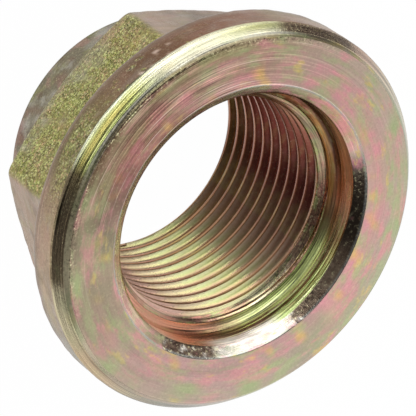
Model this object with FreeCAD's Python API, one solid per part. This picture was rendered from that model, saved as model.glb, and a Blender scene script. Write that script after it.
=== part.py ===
import FreeCAD, Part
import math
import os

# Flanged stake nut for a gearbox output shaft, forged in one piece and then turned.
# Millimetres. It stands on the end of its stake collar at z = 0, with the axis on Z
# and the bearing face of the flange looking up. Two corners of the hexagon lie on X.

# Whole nut, and the thickness of the steps at its two ends
height = 26.5
collar_length = 8.0
flange_thickness = 6.3

# Thread, M30 x 2 with a 6H bore
thread_diameter = 30.0
thread_pitch = 2.0
bore_allowance = 0.265
thread_chamfer = 0.45

# Forged hexagon for a 41 mm spanner
across_flats = 40.4
hexagon_corner_radius = 1.2
hexagon_end_ledge = 2.7
hexagon_chamfer_angle = 30.0
hexagon_root_radius = 0.8

# Flange: it stands out past the hexagon's sharp corners, to 50 mm across, and has
# a turned bearing face with two chamfers between it and the rim
flange_overhang = 1.675
rim_chamfer_width = 1.05
rim_chamfer_height = 1.5
face_edge_break = 0.5
rim_rear_radius = 0.8

# Stake collar, the thin wall that is driven into the keyway of the shaft
collar_wall = 1.7
collar_edge_break = 0.4

# Counterbore that clears the shoulder of the shaft
counterbore_clearance = 1.2
counterbore_depth = 4.5
counterbore_corner_radius = 1.0
mouth_chamfer_width = 1.4
mouth_chamfer_height = 0.9
lead_in_angle = 45.0

# Height of the basic profile of a 60 degree thread in pitches, both sides of the bore
THREAD_HEIGHT = 1.0825
# How far a cutting outline runs out past the faces that it cuts
OVERRUN = 5.0


def tan(angle):
    return math.tan(math.radians(angle))


def point(corner):
    return FreeCAD.Vector(corner[0], 0, corner[1])


def rounded(before, corner, after):
    """The start, middle and end of the arc that rounds one corner of an outline."""
    to_before = point(before) - point(corner)
    to_after = point(after) - point(corner)
    half_angle = to_before.getAngle(to_after) / 2
    room_before = to_before.Length * (0.45 if before[2] else 0.9)
    room_after = to_after.Length * (0.45 if after[2] else 0.9)
    reach = min(corner[2] / math.tan(half_angle), room_before, room_after)
    radius = reach * math.tan(half_angle)
    to_before.normalize()
    to_after.normalize()
    inward = (to_before + to_after).normalize()
    centre = point(corner) + inward * (radius / math.sin(half_angle))
    return (
        point(corner) + to_before * reach,
        centre - inward * radius,
        point(corner) + to_after * reach,
    )


def turned(outline):
    """Turn an outline of (radius, height, rounding) corners about Z into a solid."""
    following = outline[1:] + outline[:1]
    preceding = outline[-1:] + outline[:-1]
    edges = []
    starts = []
    ends = []
    for before, corner, after in zip(preceding, outline, following):
        start = end = point(corner)
        if corner[2]:
            start, middle, end = rounded(before, corner, after)
            edges.append(Part.Arc(start, middle, end).toShape())
        starts.append(start)
        ends.append(end)
    for end, start in zip(ends, starts[1:] + starts[:1]):
        edges.append(Part.LineSegment(end, start).toShape())
    wire = Part.Wire(Part.sortEdges(edges)[0])
    return Part.Face(wire).revolve(FreeCAD.Vector(0, 0, 0), FreeCAD.Vector(0, 0, 1), 360)


def sharp_corner_radius():
    """Radius of the circle through the hexagon's corners before they are rounded."""
    return across_flats / 2 / math.cos(math.pi / 6)


def flange_radius():
    return sharp_corner_radius() + flange_overhang


def flange_back():
    """Height of the flange's back, where the hexagon starts."""
    return height - flange_thickness


def hexagon_prism():
    """The six forged flats and the rounded corners between them."""
    corners = []
    for index in range(7):
        angle = index * math.pi / 3
        x = sharp_corner_radius() * math.cos(angle)
        y = sharp_corner_radius() * math.sin(angle)
        corners.append(FreeCAD.Vector(x, y, 0))
    face = Part.Face(Part.makePolygon(corners))
    prism = face.extrude(FreeCAD.Vector(0, 0, flange_back()))
    uprights = []
    for edge in prism.Edges:
        if edge.BoundBox.ZLength > flange_back() / 2:
            uprights.append(edge)
    return prism.makeFillet(hexagon_corner_radius, uprights)


def hexagon_and_collar():
    """The hexagon with its end chamfer, and the stake collar that stands out of it."""
    collar_radius = thread_diameter / 2 + collar_wall
    end_radius = collar_radius + hexagon_end_ledge
    outside = sharp_corner_radius() + OVERRUN
    chamfer_top = collar_length + (outside - end_radius) * tan(hexagon_chamfer_angle)
    envelope = turned([
        (0, 0, 0),
        (collar_radius - collar_edge_break, 0, 0),
        (collar_radius, collar_edge_break, 0),
        (collar_radius, collar_length, 0),
        (end_radius, collar_length, 0),
        (outside, chamfer_top, 0),
        (outside, height + OVERRUN, 0),
        (0, height + OVERRUN, 0),
    ])
    return hexagon_prism().common(envelope)


def flange():
    """The round flange, with its bearing face on top."""
    chamfer_top = height - face_edge_break
    chamfer_radius = flange_radius() - rim_chamfer_width
    return turned([
        (0, height, 0),
        (chamfer_radius - face_edge_break, height, 0),
        (chamfer_radius, chamfer_top, 0),
        (flange_radius(), chamfer_top - rim_chamfer_height, 0),
        (flange_radius(), flange_back(), rim_rear_radius),
        (0, flange_back(), 0),
    ])


def root_edges(body):
    """The edges where the hexagon meets the back of the flange."""
    found = []
    for edge in body.Edges:
        box = edge.BoundBox
        on_back = max(abs(box.ZMin - flange_back()), abs(box.ZMax - flange_back())) < 0.001
        vertex = edge.Vertexes[0].Point
        if on_back and math.hypot(vertex.x, vertex.y) < sharp_corner_radius():
            found.append(edge)
    return found


def bore():
    """Everything that is turned out of the inside, as one solid to take away."""
    thread_radius = (thread_diameter - THREAD_HEIGHT * thread_pitch + bore_allowance) / 2
    lead_in_radius = thread_diameter / 2
    counterbore_radius = lead_in_radius + counterbore_clearance
    floor = height - counterbore_depth
    lead_in_end = floor - (lead_in_radius - thread_radius) / tan(lead_in_angle)
    mouth_slope = mouth_chamfer_width / mouth_chamfer_height
    beyond_mouth = mouth_chamfer_height + OVERRUN
    return turned([
        (0, -OVERRUN, 0),
        (thread_radius + thread_chamfer + OVERRUN, -OVERRUN, 0),
        (thread_radius, thread_chamfer, 0),
        (thread_radius, lead_in_end, 0),
        (lead_in_radius, floor, 0),
        (counterbore_radius, floor, counterbore_corner_radius),
        (counterbore_radius, height - mouth_chamfer_height, 0),
        (counterbore_radius + mouth_slope * beyond_mouth, height + OVERRUN, 0),
        (0, height + OVERRUN, 0),
    ])


def nut():
    """The forging, with the root of its hexagon filleted and its inside turned out."""
    forging = flange().fuse(hexagon_and_collar()).removeSplitter()
    ledge = flange_overhang - rim_rear_radius
    forging = forging.makeFillet(min(hexagon_root_radius, 0.95 * ledge), root_edges(forging))
    return forging.cut(bore())


os.makedirs("parts", exist_ok=True)
nut().exportStep("parts/shaft_nut.step")
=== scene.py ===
import math

import bpy
import numpy as np
from mathutils import Matrix, Vector


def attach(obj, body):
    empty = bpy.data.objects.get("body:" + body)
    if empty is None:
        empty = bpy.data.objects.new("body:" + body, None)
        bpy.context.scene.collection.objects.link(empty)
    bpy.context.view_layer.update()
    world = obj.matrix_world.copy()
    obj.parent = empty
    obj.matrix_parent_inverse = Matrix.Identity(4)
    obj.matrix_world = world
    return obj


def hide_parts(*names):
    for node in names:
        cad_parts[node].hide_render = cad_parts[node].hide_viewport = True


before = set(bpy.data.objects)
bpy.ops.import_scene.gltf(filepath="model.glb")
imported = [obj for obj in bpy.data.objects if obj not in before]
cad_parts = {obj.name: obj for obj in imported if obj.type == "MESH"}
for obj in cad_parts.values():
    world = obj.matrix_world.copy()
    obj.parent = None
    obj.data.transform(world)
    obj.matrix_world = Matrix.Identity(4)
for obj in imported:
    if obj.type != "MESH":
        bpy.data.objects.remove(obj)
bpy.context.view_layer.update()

# The nut: one forging of carbon steel, turned on the bearing face, the counterbore and the
# thread, then zinc plated and yellow chromated. It stands on the end of its stake collar.
# Its skin is one closed mesh, made ring by ring round the axis, in millimetres until the end.
height = 26.5
collar_length = 8.0
flange_thickness = 6.3
rim_radius = 25.0
rim_chamfer_width = 1.05
rim_chamfer_height = 1.5
rim_rear_radius = 0.8
face_break = 0.5
across_flats = 40.4
corner_rounding = 1.2
root_radius = 0.8
end_ledge = 2.7
end_slope = math.tan(math.radians(30))
collar_radius = 16.7
collar_fillet = 0.3
collar_break = 0.4
thread_radius = 15.0
crest_radius = 14.05
thread_pitch = 2.0
thread_chamfer = 0.45
counterbore_radius = 16.2
counterbore_depth = 4.5
counterbore_corner = 1.0
mouth_width = 1.4
mouth_depth = 0.9

# Wear: how deep the mouth is torn, how far the counterbore's wall opens towards it, and how deep
# the rim is worn at one place and rubbed at another
mouth_torn = 0.28
wall_opened = 0.36
rim_worn = 0.22
rim_rubbed = 0.05

flange_back = height - flange_thickness
break_radius = rim_radius - rim_chamfer_width
break_level = height - face_break
face_radius = break_radius - face_break
hexagon_end_radius = collar_radius + end_ledge
counterbore_floor = height - counterbore_depth
corner_top = counterbore_floor + counterbore_corner
corner_start = counterbore_radius - counterbore_corner
mouth_radius = counterbore_radius + mouth_width

# Columns stand closer together near the corners of the hexagon, at multiples of 60 degrees
sixth = math.pi / 3
columns_per_side = 64
columns = 6 * columns_per_side
step = np.arange(columns) / columns_per_side
angle = (step - 0.5 * np.sin(2 * math.pi * step) / (2 * math.pi)) * sixth
every_column = np.ones(columns)

# Radius of the hexagon at each column, with its corners rounded
side = across_flats / 2
from_flat = angle % sixth - sixth / 2
from_corner = (angle + sixth / 2) % sixth - sixth / 2
rounding_centre = (side - corner_rounding) / math.cos(sixth / 2)
rounded_corner = rounding_centre * np.cos(from_corner) + np.sqrt(
    np.maximum(corner_rounding ** 2 - (rounding_centre * np.sin(from_corner)) ** 2, 0))
tangent_point = math.atan((side - corner_rounding) / side * math.tan(sixth / 2))
hexagon = np.where(abs(from_flat) <= tangent_point, side / np.cos(from_flat), rounded_corner)


def degrees_away(places, centre):
    """How far round the axis the places lie from a centre in degrees, -180 to 180."""
    return (np.degrees(places) - centre + 180) % 360 - 180


def lobe(centre, width):
    """A soft hump round the columns, 1 at the centre angle and falling off over the width."""
    return np.exp(-(degrees_away(angle, centre) / width) ** 2)


rings = []


def ring(radius, level, zone):
    """One ring of the skin: its radius and its height at each column, and what it belongs to."""
    rings.append((radius * every_column, level * every_column, zone))


def rings_between(start, end, count, zone):
    """Rings along the straight line from one (radius, height) to another."""
    for share in np.linspace(0, 1, count + 1):
        ring(start[0] + (end[0] - start[0]) * share, start[1] + (end[1] - start[1]) * share, zone)


def rings_round(centre, radius, start, end, count, zone):
    """Rings along an arc between two angles in degrees, with radius outward as 0."""
    for turn in np.radians(np.linspace(start, end, count + 1)):
        ring(centre[0] + radius * np.cos(turn), centre[1] + radius * np.sin(turn), zone)


# Counterbore: a flat floor outside the lead-in, a rounded corner and a wall with coarse ridges.
# Here and below, an edge is the narrow strip between two rings that stand back from it by up to
# about 0.1 mm, so that it is slightly broken.
rings_between((thread_radius, counterbore_floor), (corner_start, counterbore_floor), 2, "counterbore")
rings_round((corner_start, corner_top), counterbore_corner, -82, -8, 5, "counterbore")
wall_top = height - mouth_depth - mouth_torn * lobe(92, 46)
opening = wall_opened * lobe(62, 28)
for share in np.linspace(0, 1, 19):
    ridge = 0.03 * math.sin(21 * share + 4) + 0.015 * math.sin(37 * share + 3)
    out = ridge * (0.2 + lobe(70, 36)) + opening * max(5 * share - 4, 0) - 0.03
    ring(counterbore_radius + out, corner_top + (wall_top - 0.08 - corner_top) * share, "counterbore")

# Mouth chamfer, bearing face with its edge break, and the steep outer chamfer
rings_between((counterbore_radius + opening + 0.06, wall_top + 0.04),
              (mouth_radius - 0.06, height - 0.04), 5, "mouth")
rings_between((mouth_radius + 0.03, height), (mouth_radius + 0.12, height), 1, "face")
rings_between((mouth_radius + 0.5, height), (face_radius - 0.4, height), 9, "face")
rings_between((face_radius - 0.1, height), (face_radius - 0.02, height), 1, "face")
rings_between((face_radius + 0.05, height - 0.05), (break_radius - 0.04, break_level + 0.04), 3, "break")
forged_rim = rim_radius - rim_worn * lobe(203, 26) - rim_rubbed * lobe(330, 40)
chamfer_end = break_level - (forged_rim - break_radius) * rim_chamfer_height / rim_chamfer_width
rings_between((break_radius + 0.03, break_level - 0.05), (forged_rim - 0.05, chamfer_end + 0.08),
              6, "chamfer")

# Forged rim, its rounded rear edge and the back of the flange
rear_centre = (forged_rim - rim_rear_radius, flange_back + rim_rear_radius)
rings_between((forged_rim, chamfer_end - 0.05), (forged_rim, rear_centre[1] + 0.05), 8, "rim")
rings_round(rear_centre, rim_rear_radius, -10, -80, 4, "rim")
rings_between((rear_centre[0] - 0.05, flange_back), (hexagon + root_radius + 0.03, flange_back),
              1, "forging")

# Hexagon: the fillet at its root, the flats and the cone that cuts back its end
rings_round((hexagon + root_radius, flange_back - root_radius), root_radius, 100, 170, 3, "forging")
cone_level = collar_length + (hexagon - hexagon_end_radius) * end_slope
rings_between((hexagon, flange_back - root_radius - 0.03), (hexagon, cone_level + 0.22), 20, "flat")
ring(hexagon - 0.03, cone_level + 0.07, "flat")
ring(hexagon - 0.12, cone_level - 0.06, "end")
rings_between((hexagon - 0.3, cone_level - 0.3 * end_slope),
              (hexagon_end_radius + 0.06, collar_length + 0.035), 3, "end")
rings_between((hexagon_end_radius - 0.06, collar_length),
              (collar_radius + collar_fillet + 0.05, collar_length), 2, "end")

# Stake collar, with a small fillet at its root and a broken edge at its end
rings_round((collar_radius + collar_fillet, collar_length - collar_fillet), collar_fillet,
            100, 170, 2, "collar")
rings_between((collar_radius, collar_length - collar_fillet - 0.05),
              (collar_radius, collar_break + 0.06), 9, "collar")
rings_between((collar_radius - 0.04, collar_break - 0.04),
              (collar_radius - collar_break + 0.04, 0.04), 2, "collar")
rings_between((collar_radius - collar_break - 0.06, 0), (crest_radius + 0.5, 0), 2, "collar")

# Thread: right-hand, 60 degrees, cut outward from the bore. Between a chamfer at the collar's
# end and the cone that leads in from the counterbore, its rows follow the helix. The height of
# the first crest is that of its middle at 0 degrees.
crest_half = 0.24
first_crest = -0.067
helix_bottom = 0.42
helix_top = 20.7


def thread_section(off):
    """Radius of the thread's surface at a distance along the axis from the middle of a crest."""
    flank = crest_radius + (off - crest_half) * math.sqrt(3)
    return np.clip(flank, crest_radius, thread_radius)


def thread_at(level):
    """Radius of the thread's surface round a ring at one height."""
    off = (level - first_crest - thread_pitch * angle / (2 * math.pi)) % thread_pitch
    return thread_section(np.minimum(off, thread_pitch - off))


for level in (0.0, 0.15, 0.3, helix_bottom):
    ring(np.maximum(thread_at(level), crest_radius + thread_chamfer - level), level, "thread")
rings_below = len(rings)
for level in np.linspace(helix_top, counterbore_floor, 13):
    ring(np.maximum(thread_at(level), thread_radius + level - counterbore_floor), level, "lead")

# Points are a radius, an angle and a height. With each goes how far along the section it lies.
# The last ring is joined to the first, and the rows of the helix fill the one gap between rings.
# A face belongs where its first ring does, or its second one where the first is the lead-in's.
points = []
along = []
travel = 0
for index, (radius, level, zone) in enumerate(rings):
    if index not in (0, rings_below):
        before = rings[index - 1]
        travel += np.hypot(radius - before[0], level - before[1]).mean()
    points += list(zip(radius, angle, level))
    along += [travel] * columns

faces = []
face_zones = []


def add_face(corners, zone):
    faces.append(corners)
    face_zones.append(zone)


for index, (_, _, zone) in enumerate(rings):
    following = (index + 1) % len(rings)
    if zone == "lead":
        zone = rings[following][2]
    if following != rings_below:
        for column in range(columns):
            beside = (column + 1) % columns
            add_face((index * columns + column, index * columns + beside,
                      following * columns + beside, following * columns + column), zone)

# Rows of the helix lie at eight offsets from the middle of each crest. Each column holds its
# rows by number. After the last column comes the first again, a full turn on, where the row that
# goes on is the one a crest higher.
offsets = (-0.80, -0.50, -0.29, -0.20, 0.20, 0.29, 0.50, 0.80)
helix = [{} for _ in range(columns)]
for column, rows in enumerate(helix):
    for crest in range(-1, 12):
        middle = first_crest + thread_pitch * (crest + angle[column] / (2 * math.pi))
        for place, offset in enumerate(offsets):
            if helix_bottom + 0.03 < middle + offset < helix_top - 0.03:
                rows[crest * len(offsets) + place] = len(points)
                points.append((thread_section(abs(offset)), angle[column], middle + offset))
                along.append(offset + thread_pitch)
helix.append({row - len(offsets): point for row, point in helix[0].items()})

# Faces between two columns of the helix. Rows that only one of them has, where the helix runs
# out below and above, are joined by triangles.
for column in range(columns):
    mine = helix[column]
    theirs = helix[column + 1]
    beside = (column + 1) % columns
    left = (rings_below - 1) * columns + column
    right = (rings_below - 1) * columns + beside
    shared = sorted(set(mine) & set(theirs))
    for row in sorted(theirs):
        if row < shared[0]:
            add_face((left, right, theirs[row]), "thread")
            right = theirs[row]
    for row in shared:
        add_face((left, right, theirs[row], mine[row]), "thread")
        left = mine[row]
        right = theirs[row]
    for row in sorted(mine):
        if row > shared[-1]:
            add_face((left, right, mine[row]), "thread")
            left = mine[row]
    add_face((left, right, rings_below * columns + beside, rings_below * columns + column), "thread")

points = np.array(points)
along = np.array(along)
radius, turn, level = points.T
x = radius * np.cos(turn)
y = radius * np.sin(turn)
zones = np.array([zone for _, _, zone in rings for _ in range(columns)]
                 + ["thread"] * (len(points) - len(rings) * columns))


def ripple(size, seed):
    """A smooth random field over the skin, about -1 to 1, with waves of about that size in mm."""
    source = np.random.default_rng(seed)
    waves = 28
    total = 0
    for _ in range(waves):
        direction = source.normal(size=3)
        direction *= 2 * math.pi / (size * source.uniform(0.7, 1.6) * np.linalg.norm(direction))
        total = total + np.cos(direction[0] * x + direction[1] * y + direction[2] * level
                               + source.uniform(0, 2 * math.pi))
    return total / (2 * math.sqrt(waves / 2))


def spots(size, seed, below, gain=1.0):
    """Scattered soft spots from 0 to 1, fewer where more of the ripple lies below."""
    return np.clip(gain * ripple(size, seed) - below, 0, 1)


def ramp(value, start, end):
    """0 up to the start and 1 from the end, which may be the lower of the two."""
    return np.clip((value - start) / (end - start), 0, 1)


def band(value, centre, width):
    """A soft hump, 1 where the value is at the centre."""
    return np.exp(-((value - centre) / width) ** 2)


def sector(centre, width):
    """A soft hump round the axis, 1 at the centre angle, at every point of the skin."""
    return band(degrees_away(turn, centre), 0, width)


def between(centre, width, soft):
    """1 inside a sector of that many degrees round its centre, with soft ends."""
    return np.clip((width / 2 - abs(degrees_away(turn, centre))) / soft + 0.5, 0, 1)


# The forging's skin is uneven and lightly dented. It is only ever pressed in, never raised, and
# the rim stays as it is where it lies on X and on Y, so that the nut keeps its size.
deepest_dent = 0.2
forged_zones = ["rim", "flat", "forging", "end", "collar"]
forged = np.isin(zones, forged_zones)
outside = forged & (level > collar_break + 0.1) & (radius > collar_radius - 0.1)
widest = (radius > rim_radius - 0.01) & (abs(np.sin(2 * turn)) < 0.02)
depth = 0.03 + 0.03 * ripple(3.0, 5) + 0.02 * ripple(1.3, 6) + 0.1 * spots(2.4, 11, 1.25)
radius = radius - np.where(outside & ~widest, np.clip(depth, 0, deepest_dent), 0)

# How the finish changes over the nut: the tint of its film as a colour from 0 to 255, with painted
# highlights and painted shade laid into it in places, and the strength of its patches, of its grain
# with painted dark pits and painted light specks, of its turned lines and of its shine as bare metal.
# Places round the axis are in degrees from X towards Y.
is_in = {zone: zones == zone for zone in set(zones)}
coat_with_painted_light = np.tile([190.0, 162.0, 140.0], (len(points), 1))
patchy = np.full(len(points), 0.6)
grain_and_painted_specks = np.full(len(points), 0.15)
turning = np.full(len(points), 0.3)
bare = np.full(len(points), 1.0)


def tint(weight, colour):
    """Bring the film towards a colour where the weight is high; some calls lay in painted light and
    shade.
    """
    coat_with_painted_light[:] += np.clip(weight, 0, 1)[:, None] * (np.array(colour) - coat_with_painted_light)


# Bearing face and its broken edge: dusty pink with khaki patches, redder round 270 and darker there
# as painted shade, with painted highlight streaks round 235 and the strongest turned lines round 246
across = (radius - mouth_radius) / (face_radius - mouth_radius)
face = is_in["face"] | is_in["break"]
tint(face, (187, 159, 150))
tint(face * band(across, 1.0, 0.35) * (0.3 + 0.55 * sector(110, 46)), (182, 182, 152))
tint(face * band(across, 0.25, 0.25) * sector(115, 75) * 0.7, (202, 157, 147))
tint(face * band(across, 0.6, 0.3) * sector(80, 18) * 0.8, (168, 172, 134))
# Redder film round 270, darker there as painted shade; painted shade round 68, 303 and 258 too
tint(face * sector(272, 54) * 0.95, (140, 104, 88))
tint(face * sector(68, 56) * 0.08, (0, 0, 30))
tint(face * sector(303, 26) * 0.34, (0, 8, 8))
tint(face * band(across, 0.9, 0.25) * sector(258, 18) * 0.22, (0, 0, 0))
tint(face * band(across, 0.6, 0.4) * sector(221, 12) * 0.4, (150, 110, 96))
tint(face * band(across, 0.3, 0.5) * sector(310, 20) * 0.5, (110, 124, 96))
tint(face * band(across, 0.5, 0.12) * sector(268, 12) * 0.5, (150, 118, 76))
tint(face * band(across, 0.88, 0.16) * sector(236, 26) * 0.9, (156, 148, 108))
tint(is_in["face"] * band(across, 1.0, 0.15) * sector(270, 30) * 0.9, (104, 92, 64))
# Painted highlights: two pale pink streaks round 235, halfway across and near the mouth
tint(face * band(across, 0.56, 0.05) * sector(234, 14) * 0.7, (232, 196, 180))
tint(face * band(across, 0.14, 0.08) * sector(236, 14) * 0.8, (236, 190, 182))
tint(face * sector(322, 26) * 0.8, (158, 146, 122))
blush = spots(5.0, 32, -0.1) * (0.3 + 0.6 * sector(105, 75))
tint(face * blush * band(across, 0.3, 0.4), (216, 140, 154))
tint(face * spots(4.5, 33, 0) * band(across, 0.75, 0.45) * 0.7, (156, 178, 124))
tint(face * spots(3.0, 34, 0.35) * band(across, 0.2, 0.25) * 0.8, (222, 186, 96))
tint(face * band(across, 0.45, 0.4) * sector(277, 17) * 0.7, (146, 98, 92))
turning = np.where(face, 0.1 + sector(246, 40), turning)
even = 0.6 * sector(268, 40) + 0.5 * sector(15, 45) * band(across, 0.85, 0.4)
patchy = np.where(face, 1 - even, patchy)
grain_and_painted_specks += is_in["face"] * band(across, 1.0, 0.07) * between(262, 120, 30) * 1.3

# The face's broken edge alone: olive, with a painted highlight line at its foot, a painted highlight
# round 60 and a gritty stretch round 260
edge = is_in["break"]
gritty = edge * between(260, 126, 16)
tint(gritty * 0.85, (150, 140, 108))
tint(gritty * sector(312, 24) * 0.9, (204, 194, 158))
tint(edge * sector(336, 22) * 0.8, (220, 206, 176))
tint(edge * between(108, 120, 30) * 0.85, (150, 150, 124))
# Painted highlight round 60
tint(edge * sector(60, 14) * 0.8, (250, 250, 244))
foot = edge & (level < break_level + 0.22)
# Painted highlight line along the foot from 205 to 285
tint(foot * between(245, 80, 10) * 0.8, (200, 198, 182))
bare -= edge * (0.6 * sector(180, 14) + 0.5 * sector(318, 26))
bare -= gritty * sector(228, 30) * 0.5
bare -= foot * between(272, 34, 14) * 0.6
grain_and_painted_specks += gritty * (0.3 + 0.4 * sector(278, 26))

# Outer chamfer: tan, bright from 208 to 256 as a painted highlight, olive from there to 292 with a
# white painted highlight along its outer edge, and dark and gritty on both sides, partly as painted
# shade
chamfer = is_in["chamfer"]
up_chamfer = (radius - break_radius) / rim_chamfer_width
tint(chamfer, (180, 166, 138))
# Painted highlight: the bright stretch from 208 to 286
tint(chamfer * between(247, 78, 6), (212, 208, 182))
tint(chamfer * band(up_chamfer, 0.5, 0.3) * sector(217, 12) * 0.8, (176, 178, 118))
# Painted shade round 27
tint(chamfer * sector(27, 20) * 0.44, (0, 0, 0))
tint(chamfer * sector(350, 14) * 0.6, (206, 172, 138))
tint(chamfer * sector(180, 10) * 0.6, (184, 146, 134))
tint(chamfer * between(274, 35, 10) * 0.85, (196, 212, 122))
tint(chamfer * band(up_chamfer, 0.45, 0.25) * between(275, 28, 12) * 0.7, (186, 162, 92))
# Painted highlight: white along the outer edge from 257 to 291
tint(chamfer * ramp(up_chamfer, 0.68, 0.88) * between(274, 34, 12) * 0.8, (220, 220, 206))
tint(chamfer * sector(328, 12) * 0.8, (216, 206, 170))
# Darker stretches round 302 and 198: grit, with painted shade
tint(chamfer * between(302, 34, 4) * 0.85, (120, 104, 82))
tint(chamfer * between(198, 26, 4) * 0.85, (112, 92, 76))
turning += chamfer * (0.3 + 0.9 * sector(262, 24) + 0.4 * between(302, 40, 8))
patchy = np.where(chamfer, 0.3, patchy)
grain_and_painted_specks += chamfer * (0.2 * between(302, 40, 8) + 0.5 * between(198, 30, 8))

# Mouth chamfer: torn round 18 and 107 and dark there, partly as painted shade, with a painted
# highlight between them and a grey painted highlight line at its outer edge
mouth = is_in["mouth"]
blotches = ripple(0.8, 41)
tear_and_shade = between(18, 27, 9) + between(107, 70, 9) - 0.5 + 0.3 * blotches
torn_and_shaded = mouth * np.clip(2.5 * tear_and_shade + 0.5, 0, 1)
tint(mouth, (192, 168, 138))
tint(mouth * between(166, 48, 12) * 0.8, (200, 142, 126))
# Painted highlight round 54, between the torn stretches
tint(mouth * between(54, 48, 8), (232, 226, 212))
# The torn stretches: torn plating, darkened further as painted shade
tint(torn_and_shaded * 0.95, (104, 86, 72))
tint(torn_and_shaded * sector(17, 18) * np.clip(2 * blotches - 0.7, 0, 1), (216, 210, 200))
tint(torn_and_shaded * sector(88, 16) * (0.6 + 0.6 * blotches), (172, 152, 130))
tint(torn_and_shaded * sector(17, 18) * np.clip(-2 * blotches, 0, 1) * 0.8, (70, 50, 44))
# Painted shade round 359, 130 and 206, and a painted highlight round 152
tint(mouth * sector(359, 7) * 0.25, (0, 0, 0))
tint(mouth * between(130, 40, 8) * 0.85, (62, 54, 46))
tint(mouth * sector(152, 8) * 0.3, (255, 255, 255))
tint(mouth * sector(206, 20) * 0.3, (0, 0, 0))
tint(mouth * (radius < mouth_radius - 0.6) * sector(208, 22) * 0.9, (88, 58, 38))
tint(mouth * sector(275, 60) * 0.9, (246, 230, 206))
# A grey painted highlight line along the mouth's outer edge, on the mouth and the face
edge_highlight_line = abs(radius - mouth_radius) < 0.1
tint(edge_highlight_line * mouth * 0.8, (168, 172, 168))
tint(edge_highlight_line * is_in["face"] * 0.5, (172, 172, 164))
bare -= torn_and_shaded * sector(96, 18) * 0.3
grain_and_painted_specks += torn_and_shaded * (0.8 - 0.5 * sector(116, 34))
patchy = np.where(mouth, 0.7 * (1 - torn_and_shaded), patchy)

# Counterbore: orange, then green, then brown on the way round, with lines along its wall's foot,
# painted highlights high on the wall round 45 to 62 and low on it round 76, and painted shade in places.
# Up the wall, 0 is the top of the rounded corner and 1 is just under the mouth.
wall = is_in["counterbore"]
wall_height = 2.5
up_wall = (level - corner_top) / wall_height
below_wall = wall * (level < corner_top + 0.1)
tint(wall, (196, 160, 134))
tint(wall * sector(4, 24), (255, 214, 190))
# Painted highlights high on the wall round 45 and 62
tint(wall * band(up_wall, 0.9, 0.18) * between(45, 26, 8) * 0.9, (255, 236, 228))
tint(wall * ramp(up_wall, 1 / 3, 2 / 3) * between(62, 70, 16), (250, 246, 232))
tint(wall * between(86, 42, 8) * 0.95, (190, 210, 132))
tint(wall * band(up_wall, 0.3, 0.08) * between(74, 62, 10) * 0.95, (84, 54, 34))
# Painted highlights: pale lines along the foot of the wall round 76
tint(wall * band(up_wall, 0.16, 0.05) * between(76, 56, 14) * 0.9, (222, 240, 160))
tint(wall * band(up_wall, 0.06, 0.1) * between(74, 66, 10) * 0.9, (236, 236, 190))
tint(wall * sector(20, 12) * 0.7, (255, 160, 112))
tint(wall * sector(150, 28) * 0.9, (236, 170, 126))
tint(wall * sector(130, 10) * 0.6, (200, 122, 84))
tint(wall * sector(113, 10) * 0.7, (130, 104, 62))
# Painted shade round 102, 38, 112 and 168
tint(wall * (up_wall < 0.48) * sector(102, 12) * 0.25, (0, 0, 0))
tint(wall * sector(196, 16) * 0.9, (88, 56, 34))
tint(wall * (up_wall < 0.35) * between(38, 24, 10) * 0.35, (0, 0, 0))
tint(wall * (up_wall > 0.3) * between(112, 26, 12) * 0.2, (20, 10, 0))
tint(wall * (up_wall < 0.45) * between(168, 34, 12) * 0.3, (0, 0, 0))
tint(below_wall * between(172, 76, 20) * 0.9, (90, 50, 24))
tint(wall * (level < counterbore_floor + 0.1) * between(146, 46, 16) * 0.7, (210, 164, 84))
tint(below_wall * between(8, 60, 30) * 0.8, (196, 134, 104))
tint(below_wall * between(78, 62, 16) * 0.9, (200, 214, 140))
bare -= wall * band(up_wall, 0.92, 0.15) * between(45, 26, 8) * 0.5
bare -= wall * band(up_wall, 0.72, 0.2) * between(52, 44, 14) * 0.8
bare -= wall * (up_wall > 0.3) * between(160, 50, 14) * 0.15
bare -= wall * (0.85 * sector(3, 20) + 0.35 * sector(155, 28))
bare -= below_wall * (0.6 * between(78, 62, 20) + 0.3 * between(140, 50, 16))
wall_lines = 0.5 + 1.2 * sector(80, 34) - 0.5 * sector(2, 14) - 0.7 * sector(113, 9)
turning = np.where(wall, wall_lines, turning)
patchy = np.where(wall, 0.3, patchy)

# Lead-in cone: tan and yellow-green, brown round 116, with green and red spots round 155 and
# painted shade round 29
lead = is_in["lead"]
lead_edge = lead * (level > counterbore_floor - 0.4)
tint(lead, (190, 164, 142))
tint(lead * sector(8, 24), (214, 190, 168))
tint(lead * sector(52, 24) * 0.8, (196, 198, 146))
tint(lead_edge * between(28, 60, 20) * 0.8, (206, 166, 138))
# Painted shade round 29
tint(lead * sector(29, 13) * 0.58, (24, 6, 0))
tint(lead * sector(68, 12) * 0.5, (240, 236, 196))
tint(lead * sector(116, 24) * 0.9, (150, 112, 90))
tint(lead * sector(163, 22), (164, 152, 120))
tint(lead * sector(186, 14) * 0.8, (186, 142, 122))
tint(lead * spots(1.6, 51, 0) * sector(150, 22) * 0.7, (176, 120, 108))
tint(lead * spots(1.4, 52, 0) * sector(158, 24) * 0.7, (150, 164, 104))
bare -= lead_edge * between(12, 60, 30) * 0.4
turning = np.where(lead, 0.8 - 0.7 * sector(8, 28) - 0.4 * sector(160, 20), turning)
patchy = np.where(lead, 0.8, patchy)
grain_and_painted_specks += lead * (level > counterbore_floor - 0.7) * sector(33, 14) * 0.45
grain_and_painted_specks += lead * between(102, 56, 10) * 0.9

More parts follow.
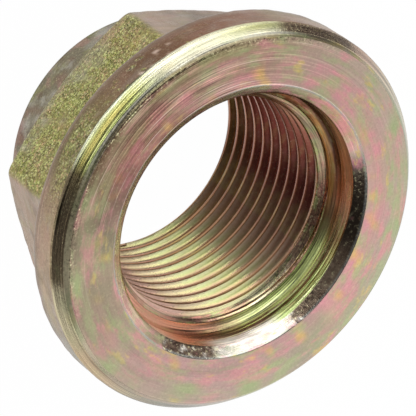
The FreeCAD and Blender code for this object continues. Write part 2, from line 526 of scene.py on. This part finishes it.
# Thread: brown crests with pink corners, painted as a highlight on the lit side, green flanks with pink
# roots from 33 to 79, and wine red with paler crests on the shaded side round 165, darkened there as
# painted shade
cut = is_in["thread"]
crests = cut & (radius < crest_radius + 0.03)
past_crest = along - thread_pitch
shaded_side = between(165, 140, 50)
lit_side = 1 - shaded_side
green_side = between(56, 46, 18)
corners = cut * lit_side * band(past_crest, 0.29, 0.04)
flanks = cut * band(past_crest, 0.5, 0.1)
roots = cut * (abs(past_crest) > 0.7)
tint(cut, (180, 184, 136))
tint(cut * sector(8, 26) * 0.85, (224, 184, 158))
# The wine red of the shaded side is partly the film's own and partly painted shade
tint(cut * shaded_side, (120, 62, 54))
tint(cut * shaded_side * ramp(level, 7, 2) * 0.7, (104, 92, 56))
tint(crests * lit_side * 0.95, (172, 122, 84))
# Painted highlight: pale pink corners on the lit side
tint(corners, (246, 208, 190))
tint(corners * green_side * 0.85, (208, 216, 160))
tint(crests * shaded_side * 0.9, (168, 120, 104))
# Painted shade on the crests round 105
tint(crests * sector(105, 22) * 0.22, (40, 20, 16))
tint(cut * sector(176, 14) * ramp(level, 8, 16) * 0.4, (190, 140, 116))
tint(flanks * lit_side * (1 - green_side) * 0.7, (226, 170, 158))
tint(flanks * green_side * 0.85, (186, 196, 132))
tint(roots * green_side * 0.9, (220, 156, 142))
tint(cut * sector(165, 22) * ramp(level, 14, 18) * 0.4, (196, 146, 122))
tint(cut * sector(181, 14) * ramp(level, 15, 18) * 0.8, (240, 184, 150))
tint(cut * sector(183, 12) * 0.6, (210, 170, 142))
tint(cut * sector(0, 12) * ramp(level, 10, 8) * 0.7, (152, 152, 116))
# Painted shade in the roots on the shaded side
tint(roots * shaded_side * 0.4, (84, 40, 34))
bare -= corners * 0.7
bare -= cut * (0.5 * sector(181, 12) * ramp(level, 15, 18) + 0.5 * sector(184, 11))
bare -= (cut | lead) * sector(2, 24) * ramp(level, 14, 17) * 0.7
patchy = np.where(cut, 0.5 - 0.3 * shaded_side, patchy)
turning = np.where(cut, 0.2, turning)

# Forged rim: brown, redder round 228 and olive round 280, with grit and painted glints round 255
rim = is_in["rim"]
# Pale spots round 257 are painted glints
painted_rim_glints = rim * spots(1.1, 91, 2.4, gain=3) * sector(257, 16)
rear_edge = rim * ramp(level, flange_back + 2.0, flange_back + rim_rear_radius)
uneven = np.clip(0.85 + 0.4 * ripple(4.5, 22), 0, 1)
clusters = np.clip(ripple(0.9, 61) - 0.6, 0, 0.6)
tint(rim, (168, 140, 118))
tint(rim * sector(243, 34), (112, 84, 62))
tint(rim * sector(228, 16) * 0.4, (156, 92, 66))
tint(painted_rim_glints, (255, 232, 216))
tint(rim * sector(280, 13) * 0.8, (102, 98, 54))
tint(rim * sector(322, 18), (188, 164, 136))
tint(rim * sector(348, 12), (142, 136, 114))
tint(rear_edge * 0.8, (136, 116, 100))
tint(rear_edge * sector(330, 30) * 0.7, (150, 132, 116))
bare -= painted_rim_glints * 0.5
patchy = np.where(rim, 0.6 - 0.35 * sector(245, 40), patchy)
grit = 0.1 + 0.8 * sector(281, 15) * uneven + 2.6 * sector(254, 18) * clusters
grain_and_painted_specks += rim * (1 - rear_edge) * grit

# Flats: olive and granular on the one round 270 and, less so, on three more, greyer towards the
# cone of the end, and tan on the other two, with painted shade round 215
flat = is_in["flat"] | is_in["forging"]
olive = between(270, 60, 4) + 0.75 * sum(between(centre, 60, 4) for centre in (150, 90, 30))
grey_below = 10.9 + 2.2 * between(254, 22, 14) + ripple(2.0, 71)
near_end = ramp(level, grey_below, grey_below - 1.4)
tint(flat, (164, 138, 114))
tint(flat * olive, (166, 174, 92))
tint(flat * olive * spots(2.6, 72, 0.3) * 0.8, (196, 150, 118))
tint(flat * olive * spots(2.2, 73, 0.3) * 0.8, (196, 204, 96))
tint(flat * olive * (1 - uneven) * 0.8, (150, 122, 88))
tint(flat * olive * near_end * 0.85, (154, 146, 122))
tint(flat * olive * near_end * spots(1.3, 74, 0.2) * 0.8, (206, 202, 184))
tint(flat * between(246, 8, 5) * 0.45, (196, 146, 110))
# Painted shade round 215
tint(flat * sector(215, 14) * 0.2, (0, 0, 0))
tint(is_in["forging"] * olive * 0.7, (120, 98, 74))
grain_and_painted_specks += is_in["flat"] * olive * uneven * (1.25 - 0.68 * near_end)

# End cone and collar: grey-olive, blotched with grey, red and darker olive
end = is_in["end"]
collar = is_in["collar"]
tint(end, (142, 132, 108))
tint(collar, (122, 114, 94))
tint((end | collar) * spots(3.4, 81, 0.2, gain=1.5) * 0.6, (190, 188, 182))
tint((end | collar) * spots(3.4, 82, 0.6, gain=1.5) * 0.35, (160, 96, 90))
tint((end | collar) * spots(3.0, 83, 0.5, gain=1.5) * 0.8, (108, 106, 60))
patchy = np.where(collar, 0.95, patchy)
grain_and_painted_specks += end * 0.3 + collar * 0.15


def linear(colour):
    """A colour as seen, from 0 to 255, turned into the linear one that the shader takes."""
    share = np.array(colour) / 255
    return np.where(share > 0.04, ((share + 0.055) / 1.055) ** 2.4, share / 12.92)


nut_mesh = bpy.data.meshes.new("nut")
vertices = np.column_stack([radius * np.cos(turn), radius * np.sin(turn), level]) / 1000
nut_mesh.from_pydata(vertices.tolist(), [], faces)
fields = {"along": along, "patchy": patchy, "grain_and_painted_specks": grain_and_painted_specks, "turning": turning, "bare": bare}
for name, values in fields.items():
    field = nut_mesh.attributes.new(name, "FLOAT", "POINT")
    field.data.foreach_set("value", np.array(values, np.float32))
field = nut_mesh.attributes.new("coat_with_painted_light", "FLOAT_COLOR", "POINT")
shown_coat_with_painted_light = np.column_stack([linear(coat_with_painted_light), np.ones(len(points))])
field.data.foreach_set("color", np.array(shown_coat_with_painted_light, np.float32).ravel())
nut_mesh.polygons.foreach_set("use_smooth", [True] * len(faces))


def placed(name, data):
    """A new object in the scene, made of the data."""
    made = bpy.data.objects.new(name, data)
    bpy.context.scene.collection.objects.link(made)
    return made


nut = placed("shaft_nut_plated", nut_mesh)


def add(tree, kind, inputs=(), **settings):
    """A shader node with its settings and its inputs, each a value or another node's output."""
    node = tree.nodes.new("ShaderNode" + kind)
    for name, value in settings.items():
        setattr(node, name, value)
    for socket, value in dict(inputs).items():
        if isinstance(value, bpy.types.NodeSocket):
            tree.links.new(value, node.inputs[socket])
        else:
            node.inputs[socket].default_value = value
    return node


def maths(tree, operation, *values):
    return add(tree, "Math", enumerate(values), operation=operation).outputs[0]


def scaled(tree, vector, factor):
    return add(tree, "VectorMath", {0: vector, "Scale": factor}, operation="SCALE").outputs[0]


def mapped(tree, value, start, end, low, high, **settings):
    """The value, moved from the range start to end into the range low to high and kept there."""
    return add(tree, "MapRange", {0: value, 1: start, 2: end, 3: low, 4: high}, **settings).outputs[0]


def painted(tree, share, under, colour):
    """The colour under it with a share of another one laid on."""
    return add(tree, "Mix", {0: share, 6: under, 7: colour}, data_type="RGBA").outputs[2]


def shader_colour(colour):
    """A colour as seen, from 0 to 255, as the four numbers of a shader's colour."""
    return (*linear(colour).tolist(), 1.0)


def plated(name, films, line_depth, roughness, patch_size=(3.0, 7.0), line_rate=3.4, streak=1.0,
           painted_glint_lines=0.0, brushed=0.0, grain_size=0.3, grain_depth=0.02, grains=()):
    """Yellow-chromated zinc: a film whose tint changes in patches, over turned lines or forged grain.

    A film is the noise at which its patches start and are full, their strength and their colour.
    Sizes and depths are in mm, and lines and patches run round the axis.
    """
    material = bpy.data.materials.new(name)
    material.use_nodes = True
    tree = material.node_tree
    shader = tree.nodes["Principled BSDF"]
    place = scaled(tree, add(tree, "TexCoord").outputs["Object"], 1000.0)
    flat_place = add(tree, "VectorMath", {0: place, 1: (1, 1, 0)}, operation="MULTIPLY").outputs[0]
    around = add(tree, "VectorMath", {0: flat_place}, operation="NORMALIZE").outputs[0]
    heading = add(tree, "SeparateXYZ", {0: around})
    given = {field: add(tree, "Attribute", attribute_name=field).outputs["Fac"] for field in fields}

    def unrolled(per_mm, per_turn, shift):
        """Noise that runs along the section and round the axis at two scales of its own."""
        lathe = add(tree, "CombineXYZ", {
            0: maths(tree, "MULTIPLY", given["along"], per_mm),
            1: maths(tree, "MULTIPLY_ADD", heading.outputs[0], per_turn, shift),
            2: maths(tree, "MULTIPLY", heading.outputs[1], per_turn)})
        return add(tree, "TexNoise", {"Vector": lathe.outputs[0], "Scale": 1.0, "Detail": 4.0,
                                      "Roughness": 0.6}).outputs["Fac"]

    def step_up(value, start, end, strength=1.0):
        return mapped(tree, value, start, end, 0.0, strength, interpolation_type="SMOOTHSTEP")

    # The film's own tint, with its patches
    colour = add(tree, "Attribute", attribute_name="coat_with_painted_light").outputs["Color"]
    for index, (start, full, strength, film) in enumerate(films):
        patch = unrolled(1 / patch_size[0], 20 / patch_size[1], 7.3 * index + 3.1)
        share = maths(tree, "MULTIPLY", step_up(patch, start, full, strength), given["patchy"])
        colour = painted(tree, share, colour, shader_colour(film))

    # Grains of the forged skin, each with a tint of its own, a painted highlight in its middle and
    # painted shade towards its rim
    if grains:
        bend = add(tree, "TexNoise", {"Vector": place, "Scale": 1.1 / grain_size, "Detail": 2.0})
        bent = add(tree, "VectorMath", {0: bend.outputs["Color"], 1: (2 * grain_size,) * 3, 2: place},
                   operation="MULTIPLY_ADD").outputs[0]
        cells = add(tree, "TexVoronoi", {"Vector": bent, "Scale": 0.8 / grain_size, "Randomness": 1.0})
        kind = add(tree, "SeparateColor", {0: cells.outputs["Color"]}).outputs[0]
        palette = add(tree, "ValToRGB", {0: kind})
        stops = palette.color_ramp.elements
        while len(stops) < len(grains):
            stops.new(0.5)
        for index, grain_tint in enumerate(grains):
            stops[index].position = index / (len(grains) - 1)
            stops[index].color = shader_colour(grain_tint)
        painted_dome_light = mapped(tree, cells.outputs["Distance"], 0.1, 0.75, 1.5, 0.45)
        share = maths(tree, "MULTIPLY", step_up(given["grain_and_painted_specks"], 0.3, 1.0), 0.6)
        colour = painted(tree, share, colour, scaled(tree, palette.outputs[0], painted_dome_light))

    # Painted shade in dark pits and painted highlights as light glints
    specks = add(tree, "TexNoise", {"Vector": place, "Scale": 1 / grain_size, "Detail": 3.0,
                                    "Roughness": 0.7}).outputs["Fac"]
    painted_pit_shade = maths(tree, "MULTIPLY", step_up(specks, 0.5, 0.32), given["grain_and_painted_specks"])
    painted_glints = maths(tree, "MULTIPLY", step_up(specks, 0.56, 0.68), given["grain_and_painted_specks"])
    colour = painted(tree, maths(tree, "MULTIPLY", painted_pit_shade, 0.75), colour, shader_colour((40, 33, 26)))
    colour = painted(tree, maths(tree, "MULTIPLY", painted_glints, 0.8), colour,
                     shader_colour((238, 230, 186)))

    # Turned lines, lighter and darker, over wider bands, and a few pale ones that are painted highlights
    lines = unrolled(line_rate, 1.5, 0.0)
    bands = unrolled(1.1, 2.5, 9.0)
    fine = maths(tree, "SUBTRACT", step_up(lines, 0.53, 0.7, 1.1), step_up(lines, 0.47, 0.3, 0.8))
    wide = maths(tree, "MULTIPLY", maths(tree, "SUBTRACT", bands, 0.5), 0.9)
    scored = maths(tree, "MULTIPLY", maths(tree, "ADD", fine, wide), given["turning"])
    shade = maths(tree, "MAXIMUM", maths(tree, "MULTIPLY_ADD", scored, 0.8 * streak, 1.0), 0.08)
    painted_line_glints = step_up(unrolled(3.4, 1.1, 5.0), 0.6, 0.7, 0.75 * painted_glint_lines)
    colour = painted(tree, maths(tree, "MULTIPLY", painted_line_glints, given["turning"]),
                     scaled(tree, colour, shade), shader_colour((240, 216, 202)))

    grooves = maths(tree, "MULTIPLY", maths(tree, "MULTIPLY", lines, given["turning"]), line_depth)
    bumps = maths(tree, "MULTIPLY", maths(tree, "MULTIPLY", specks, given["grain_and_painted_specks"]), grain_depth)
    relief = add(tree, "Bump", {"Height": maths(tree, "ADD", grooves, bumps), "Distance": 0.001,
                                "Strength": 1.0})
    tree.links.new(given["bare"], shader.inputs["Metallic"])
    tree.links.new(colour, shader.inputs["Base Color"])
    tree.links.new(mapped(tree, bands, 0.3, 0.7, *roughness), shader.inputs["Roughness"])
    tree.links.new(relief.outputs[0], shader.inputs["Normal"])
    if brushed:
        shader.inputs["Anisotropic"].default_value = brushed
        round_axis = add(tree, "Tangent", direction_type="RADIAL", axis="Z")
        tree.links.new(round_axis.outputs[0], shader.inputs["Tangent"])
    return material


# The finishes, and the zones of the skin that each covers
green = (162, 180, 126)
pink = (220, 142, 154)
yellow = (216, 192, 104)
finishes = [
    (["face"],
     plated("turned_bearing_face",
            [(0.46, 0.68, 0.6, green), (0.46, 0.68, 0.6, pink), (0.59, 0.7, 0.5, yellow)],
            line_depth=0.02, roughness=(0.3, 0.42), patch_size=(1.6, 4.4), line_rate=7.5,
            streak=1.1, painted_glint_lines=1.0, brushed=0.4)),
    (["break", "chamfer"],
     plated("turned_chamfer", [(0.5, 0.64, 0.6, green), (0.56, 0.7, 0.6, yellow)],
            line_depth=0.03, roughness=(0.18, 0.3), line_rate=6.0, streak=1.7, brushed=0.3,
            grain_depth=0.06)),
    (forged_zones,
     plated("forged_skin",
            [(0.5, 0.66, 0.5, (150, 150, 96)), (0.5, 0.64, 0.6, (170, 132, 120)),
             (0.52, 0.64, 0.6, (104, 84, 66)), (0.54, 0.7, 0.6, (172, 168, 156))],
            line_depth=0.0, roughness=(0.24, 0.4), patch_size=(2.6, 4.0), grain_size=0.24,
            grain_depth=0.22, grains=[(112, 106, 54), (170, 172, 88), (230, 234, 152),
                                      (142, 130, 72), (236, 200, 150)])),
    (["mouth"],
     plated("torn_mouth",
            [(0.46, 0.62, 0.5, green), (0.46, 0.62, 0.7, pink), (0.58, 0.68, 0.7, yellow)],
            line_depth=0.01, roughness=(0.2, 0.3), patch_size=(1.2, 3.0), grain_size=0.45,
            grain_depth=0.1)),
    (["counterbore", "lead"],
     plated("turned_counterbore",
            [(0.5, 0.64, 0.8, (172, 184, 118)), (0.5, 0.64, 0.8, (196, 132, 120))],
            line_depth=0.03, roughness=(0.2, 0.3), patch_size=(0.8, 4.0), line_rate=5.0,
            streak=2.0, brushed=0.3)),
    (["thread"],
     plated("cut_thread", [(0.48, 0.64, 0.6, (196, 196, 112)), (0.5, 0.66, 0.6, (206, 150, 140))],
            line_depth=0.01, roughness=(0.22, 0.34))),
]
finish_of = {}
for index, (covered, finish) in enumerate(finishes):
    nut_mesh.materials.append(finish)
    for zone in covered:
        finish_of[zone] = index
nut_mesh.polygons.foreach_set("material_index", [finish_of[zone] for zone in face_zones])
nut_mesh.update()
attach(nut, "root")
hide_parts("shaft_nut")

# Floor: a plain white table top that the nut stands on. It runs far past the view, takes the
# nut's soft shadow and shows an even white of its own to the camera and in reflections.
floor_half = 2.0
own_white = 0.99
floor_mesh = bpy.data.meshes.new("floor")
floor_mesh.from_pydata([(-floor_half, -floor_half, 0), (floor_half, -floor_half, 0),
                        (floor_half, floor_half, 0), (-floor_half, floor_half, 0)],
                       [], [(0, 1, 2, 3)])
floor = placed("floor", floor_mesh)
table_top = bpy.data.materials.new("white_table")
table_top.use_nodes = True
tree = table_top.node_tree
surface = tree.nodes["Principled BSDF"]
surface.inputs["Base Color"].default_value = (0.9, 0.9, 0.9, 1)
surface.inputs["Roughness"].default_value = 0.8
path = add(tree, "LightPath").outputs
mirrored = maths(tree, "MAXIMUM", path["Is Glossy Ray"], path["Is Transmission Ray"])
seen = maths(tree, "MAXIMUM", path["Is Camera Ray"], mirrored)
white = add(tree, "Emission", {"Color": (1, 1, 1, 1), "Strength": 1.0})
mixed = add(tree, "MixShader", {0: maths(tree, "MULTIPLY", seen, own_white),
                                1: surface.outputs[0], 2: white.outputs[0]})
tree.links.new(mixed.outputs[0], tree.nodes["Material Output"].inputs["Surface"])
floor_mesh.materials.append(table_top)

# Light: wide soft panels from the left and low in front, weaker ones behind and at the right,
# and a dim even room. The panels look at one point on the nut's axis.
room_light = 0.15
aim = Vector((0, 0, 0.02))
world = bpy.data.worlds.new("studio")
world.use_nodes = True
bpy.context.scene.world = world
world.node_tree.nodes["Background"].inputs["Color"].default_value = (1, 1, 1, 1)
world.node_tree.nodes["Background"].inputs["Strength"].default_value = room_light


def panel(name, azimuth, elevation, distance, width, depth, radiance):
    """A soft light panel that looks at the nut from a direction in degrees."""
    lamp = bpy.data.lights.new(name, "AREA")
    lamp.shape = "RECTANGLE"
    lamp.size = width
    lamp.size_y = depth
    lamp.energy = radiance * math.pi * width * depth
    holder = placed(name, lamp)
    across_floor = math.cos(math.radians(elevation))
    away = Vector((math.cos(math.radians(azimuth)) * across_floor,
                   math.sin(math.radians(azimuth)) * across_floor,
                   math.sin(math.radians(elevation))))
    holder.location = away * distance + aim
    holder.rotation_euler = away.to_track_quat("Z", "Y").to_euler()
    holder.visible_camera = False


panel("high_left_panel", 196, 51, 0.6, 0.56, 0.2, 2.2)
panel("left_panel", 208, 22, 0.6, 0.6, 0.36, 2.0)
panel("front_left_panel", 262, 14, 0.6, 0.66, 0.14, 2.0)
panel("rear_panel", 108, 34, 0.7, 1.1, 0.8, 0.95)
panel("right_panel", 42, 30, 0.7, 0.9, 0.7, 0.85)

# Black card: a small upright sheet of card that stands on the table, outside the view. Only
# reflections see it, on the inner walls round 35 degrees.
card_distance = 0.15
card_height = 0.085
card_edges = []
for azimuth in (171, 146):
    card_edges.append((card_distance * math.cos(math.radians(azimuth)),
                       card_distance * math.sin(math.radians(azimuth))))
near_edge, far_edge = card_edges
card_mesh = bpy.data.meshes.new("black_card")
card_mesh.from_pydata([(*near_edge, 0), (*far_edge, 0), (*far_edge, card_height),
                       (*near_edge, card_height)], [], [(0, 1, 2, 3)])
card = placed("black_card", card_mesh)
black = bpy.data.materials.new("black_card")
black.use_nodes = True
black.node_tree.nodes["Principled BSDF"].inputs["Base Color"].default_value = (0.01, 0.01, 0.01, 1)
card_mesh.materials.append(black)
card.visible_camera = False
card.visible_diffuse = False
card.visible_shadow = False

# Camera: a long lens that looks down at 49 degrees on the bearing face, from the side of the
# flat at 270 degrees, and is rolled so that the nut leans in the picture.
camera_place = (0.00099, -0.2462, 0.3057)
camera_tilt = math.radians(40.7217)
camera_roll = math.radians(126.8691)
lens = bpy.data.cameras.new("camera")
lens.sensor_width = 36.0
lens.lens = 273.8
lens.clip_start = 0.01
camera = placed("camera", lens)
camera.matrix_world = (Matrix.Translation(camera_place) @ Matrix.Rotation(camera_tilt, 4, "X")
                       @ Matrix.Rotation(camera_roll, 4, "Z"))
bpy.context.scene.camera = camera
bpy.context.scene.view_settings.view_transform = "Standard"
